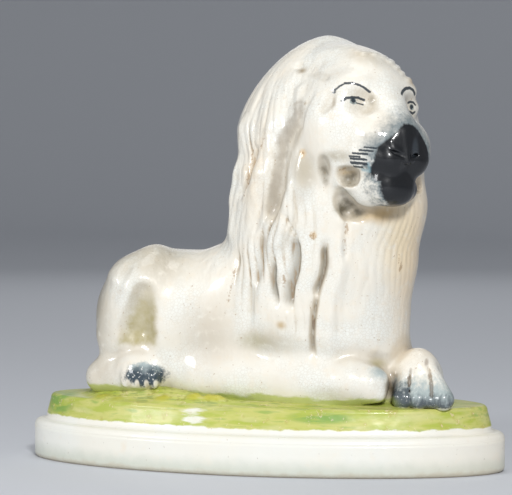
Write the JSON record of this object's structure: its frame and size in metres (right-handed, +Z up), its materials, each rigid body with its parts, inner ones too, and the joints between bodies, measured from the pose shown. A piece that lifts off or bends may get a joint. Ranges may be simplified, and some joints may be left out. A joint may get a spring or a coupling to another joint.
{
  "type": "lion figure",
  "caption": "Glazed pottery figure of a lion lying on a low oval base, head turned to one side, long mane down to its forelegs.",
  "frame": {"origin": "middle of the oval base's flat underside", "axes": "+X along the base towards the lion's chest, -Y to the side that its face turns to, +Z up"},
  "size_m": [0.3, 0.128, 0.2629],
  "materials": {
    "glazed_earthenware": "gloss"
  },
  "bodies": {
    "root": {"lion_figure": "glazed_earthenware"}
  },
  "joints": []
}
